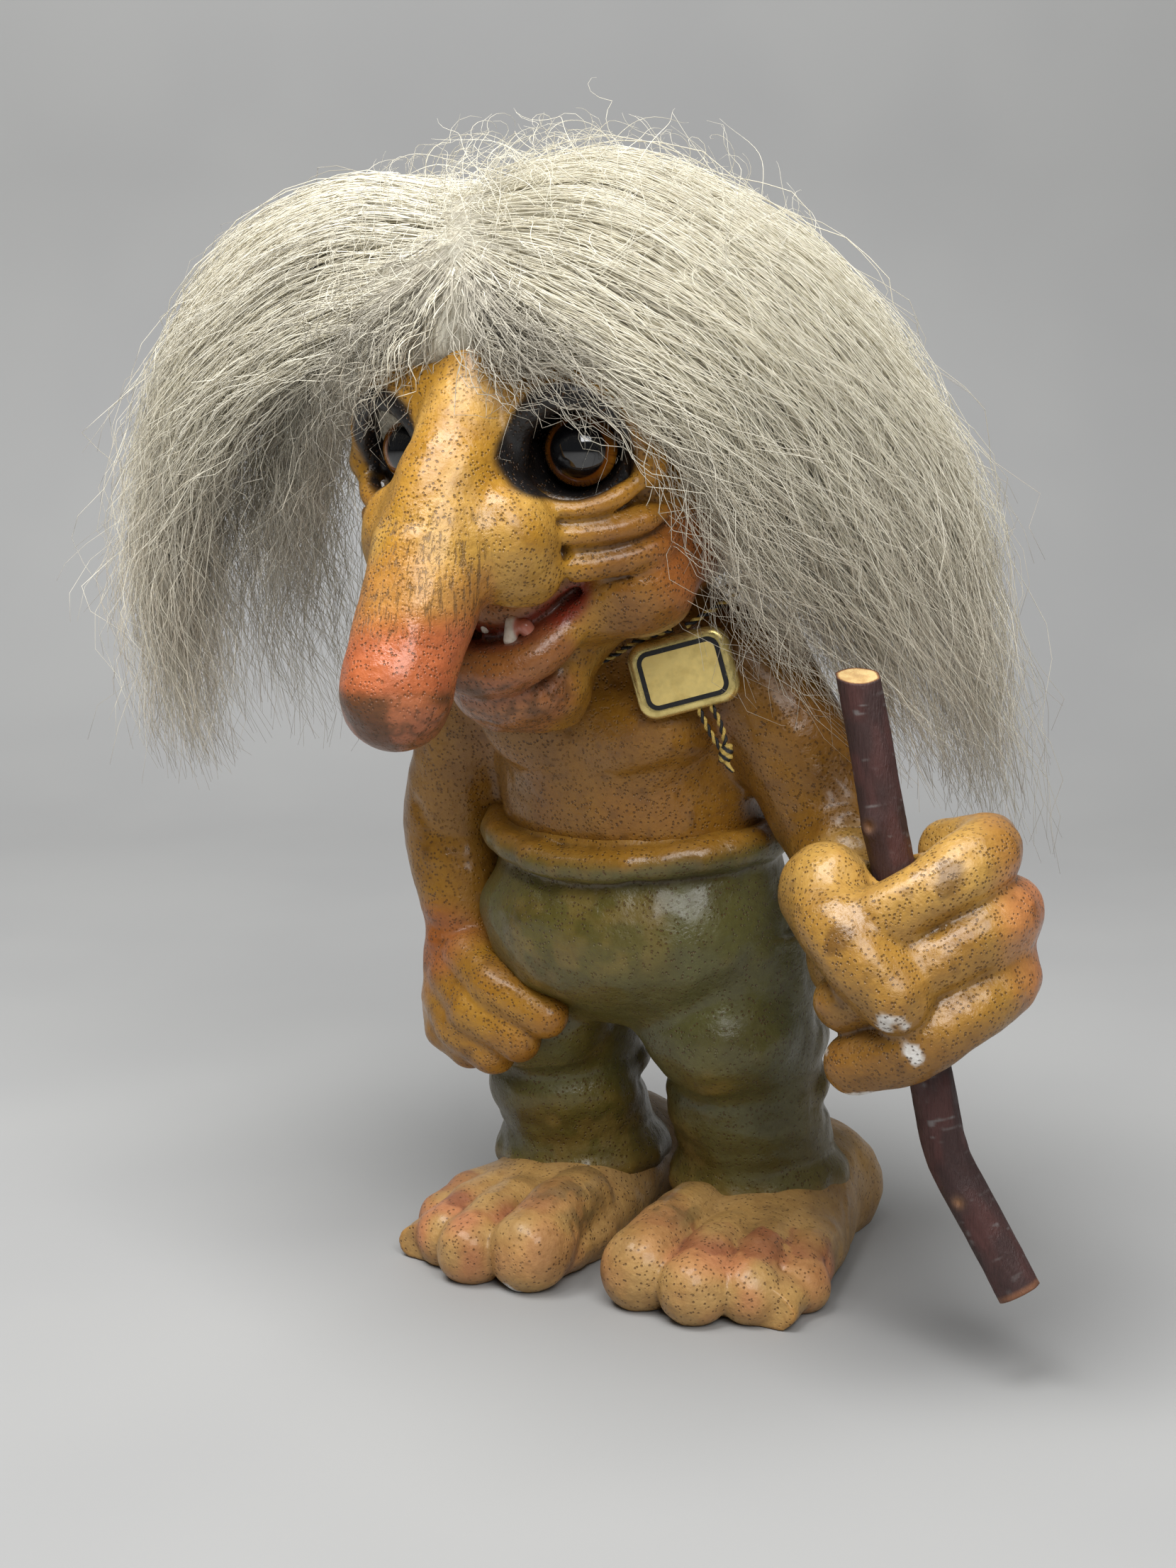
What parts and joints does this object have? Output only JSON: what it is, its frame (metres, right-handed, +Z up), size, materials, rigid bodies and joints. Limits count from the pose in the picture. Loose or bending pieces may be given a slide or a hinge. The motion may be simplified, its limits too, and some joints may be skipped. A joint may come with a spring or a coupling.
{
  "type": "troll figure",
  "caption": "Hunched folk troll figure with wild white hair, a long drooping nose, glass eyes and bare feet, holding a bent twig staff, with a metal tag on a neck cord.",
  "frame": {"origin": "on the floor, under the middle of the whole figure's box", "axes": "+Z up, the figure faces -Y and its own left hand, with the staff, is at +X"},
  "size_m": [0.222, 0.1684, 0.247],
  "materials": {
    "skin": "varnished latex",
    "trousers": "varnished latex",
    "foam": "open foam",
    "hair": "long wool hair",
    "hide": "suede",
    "eye_glass": "polished",
    "iris": "gloss",
    "pupil": "gloss",
    "tooth": "gloss",
    "bark": "bark",
    "tag_metal": "polished",
    "tag_line": "enamel",
    "cord": "twisted cord"
  },
  "bodies": {
    "figure": {"head": "skin", "torso": "skin", "arm_left": "skin", "arm_right": "skin", "hand_right": "skin", "fist_left": "skin", "foot_left": "skin", "foot_right": "skin", "trousers_seat": "trousers", "trouser_leg_left": "trousers", "trouser_leg_right": "trousers", "head_foam": "foam", "body_foam": "foam", "hair_crown": "hair", "hair_back": "hair", "hair_left": "hair", "hair_right": "hair", "wig_hide": "hide", "eye_glass_left": "eye_glass", "eye_glass_right": "eye_glass", "eye_iris_left": "iris", "eye_iris_right": "iris", "eye_pupil_left": "pupil", "eye_pupil_right": "pupil", "teeth": "tooth", "neck_cord": "cord"},
    "staff": {"staff": "bark"},
    "tag": {"tag_case": "tag_metal", "tag_panel": "tag_metal", "tag_border": "tag_line", "cord_tail": "cord", "cord_knot": "cord"}
  },
  "joints": [
    {"name": "staff_slide", "type": "slide", "parent": "figure", "child": "staff", "axis": [-0.2126, 0, 0.9771], "range_m": [-0.012, 0.008]},
    {"name": "tag_swing", "type": "hinge", "parent": "figure", "child": "tag", "pos_m": [0.02826, -0.00694, 0.14781], "axis": [-0.9055, -0.3296, -0.2672], "range_deg": [0, 60]}
  ]
}
